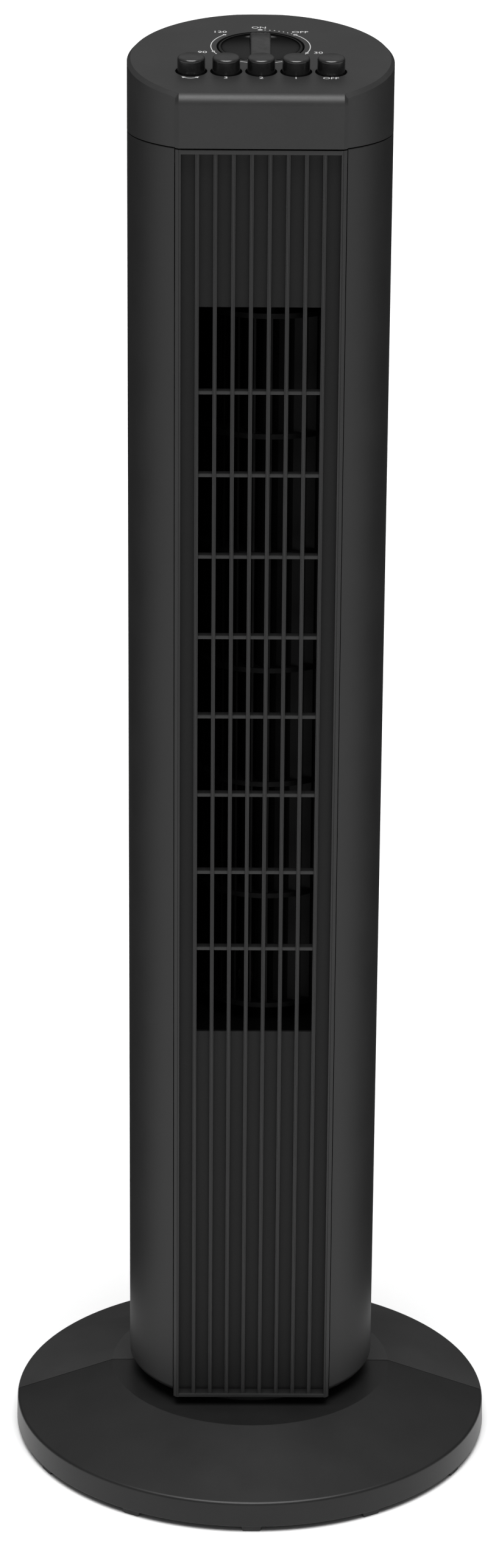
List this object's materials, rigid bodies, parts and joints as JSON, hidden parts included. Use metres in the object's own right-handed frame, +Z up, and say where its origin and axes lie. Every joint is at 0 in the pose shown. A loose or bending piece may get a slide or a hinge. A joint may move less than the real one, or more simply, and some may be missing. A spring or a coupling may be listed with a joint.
{
  "type": "tower fan",
  "caption": "Round-column tower fan on a disc base, with a slatted front outlet, slanted top with push buttons and timer knob, and a swinging column.",
  "frame": {"origin": "centre of the base, on the floor", "axes": "+Z up along the column, -Y towards the grille and the buttons, +X to the right seen from the front"},
  "size_m": [0.2528, 0.2528, 0.7495],
  "materials": {
    "base_plastic": "fine grained black moulding",
    "collar_plastic": "smooth black moulding",
    "shell_plastic": "fine grained black moulding",
    "grille_plastic": "fine grained black moulding",
    "inner_plastic": "smooth black moulding",
    "rubber": "matt black rubber",
    "screw_steel": "zinc plated",
    "acetal": "black acetal",
    "zinc_steel": "pressed zinc plated sheet",
    "bronze": "sintered bronze",
    "lamination": "varnished laminations",
    "copper": "enamelled copper wire",
    "shaft_steel": "ground steel",
    "white_plastic": "off-white moulding",
    "wire_jacket": "black sleeve",
    "gloss_black": "polished black moulding",
    "spring_steel": "spring wire"
  },
  "bodies": {
    "base": {"base_front": "base_plastic", "base_rear": "base_plastic", "base_feet": "rubber", "base_screws": "screw_steel", "pivot_column": "collar_plastic", "neck_nut": "collar_plastic", "thrust_washer": "acetal", "retaining_ring": "zinc_steel", "yoke_arm": "zinc_steel", "yoke_screws": "screw_steel", "cord_gland": "rubber"},
    "tower": {"front_shell": "shell_plastic", "rear_shell": "shell_plastic", "front_grille": "grille_plastic", "body_floor": "base_plastic", "shell_screws": "screw_steel", "duct_floor": "inner_plastic", "duct_ceiling": "inner_plastic", "air_guide": "inner_plastic", "cutoff_tongue": "inner_plastic", "top_bearing": "bronze", "bearing_mount": "rubber", "motor_upper_shield": "zinc_steel", "motor_lower_shield": "zinc_steel", "motor_stator": "lamination", "motor_windings": "copper", "motor_bearings": "bronze", "motor_screws": "screw_steel", "oscillation_bracket": "zinc_steel", "bracket_screws": "screw_steel", "oscillation_motor": "zinc_steel", "oscillation_motor_screws": "screw_steel", "capacitor": "white_plastic", "wiring": "wire_jacket", "top_cap": "shell_plastic", "switch_block": "white_plastic", "switch_screws": "screw_steel", "timer_body": "zinc_steel", "timer_screws": "screw_steel", "spring_oscillate": "spring_steel", "spring_high": "spring_steel", "spring_medium": "spring_steel", "spring_low": "spring_steel", "spring_off": "spring_steel"},
    "rotor": {"impeller": "inner_plastic", "impeller_hub": "zinc_steel", "hub_screw": "screw_steel", "stub_shaft": "shaft_steel", "motor_rotor": "lamination", "motor_shaft": "shaft_steel"},
    "crank": {"crank_arm": "inner_plastic", "crank_pin": "shaft_steel", "crank_shaft": "shaft_steel"},
    "knob": {"timer_knob": "gloss_black", "timer_shaft": "shaft_steel"},
    "push_oscillate": {"button_oscillate": "gloss_black"},
    "push_high": {"button_high": "gloss_black"},
    "push_medium": {"button_medium": "gloss_black"},
    "push_low": {"button_low": "gloss_black"},
    "push_off": {"button_off": "gloss_black"}
  },
  "joints": [
    {"name": "swing", "type": "hinge", "parent": "base", "child": "tower", "pos_m": [0, 0, 0.05], "axis": [0, 0, 1], "range_deg": [-35, 35]},
    {"name": "rotor_spin", "type": "hinge", "parent": "tower", "child": "rotor", "pos_m": [0.006, 0.004, 0.4], "axis": [0, 0, 1], "continuous": true},
    {"name": "crank_turn", "type": "hinge", "parent": "tower", "child": "crank", "pos_m": [0, 0.031, 0.077], "axis": [0, 0, 1], "range_deg": [-125, 125]},
    {"name": "timer_turn", "type": "hinge", "parent": "tower", "child": "knob", "pos_m": [0, 0.01574, 0.74106], "axis": [0, -0.1788, 0.9839], "range_deg": [-315, 0]},
    {"name": "press_oscillate", "type": "slide", "parent": "tower", "child": "push_oscillate", "axis": [0, -0.1788, 0.9839], "range_m": [-0.004, 0], "stiffness_N_per_m": 300, "springref_m": 0.003, "deforming": ["spring_oscillate"]},
    {"name": "press_high", "type": "slide", "parent": "tower", "child": "push_high", "axis": [0, -0.1788, 0.9839], "range_m": [-0.004, 0], "stiffness_N_per_m": 300, "springref_m": 0.003, "deforming": ["spring_high"]},
    {"name": "press_medium", "type": "slide", "parent": "tower", "child": "push_medium", "axis": [0, -0.1788, 0.9839], "range_m": [-0.004, 0], "stiffness_N_per_m": 300, "springref_m": 0.003, "deforming": ["spring_medium"]},
    {"name": "press_low", "type": "slide", "parent": "tower", "child": "push_low", "axis": [0, -0.1788, 0.9839], "range_m": [-0.004, 0], "stiffness_N_per_m": 300, "springref_m": 0.003, "deforming": ["spring_low"]},
    {"name": "press_off", "type": "slide", "parent": "tower", "child": "push_off", "axis": [0, -0.1788, 0.9839], "range_m": [-0.004, 0], "stiffness_N_per_m": 300, "springref_m": 0.003, "deforming": ["spring_off"]}
  ],
  "couplings": [
    {"joint": "crank_turn", "follows": "swing", "ratio": -3.57}
  ]
}
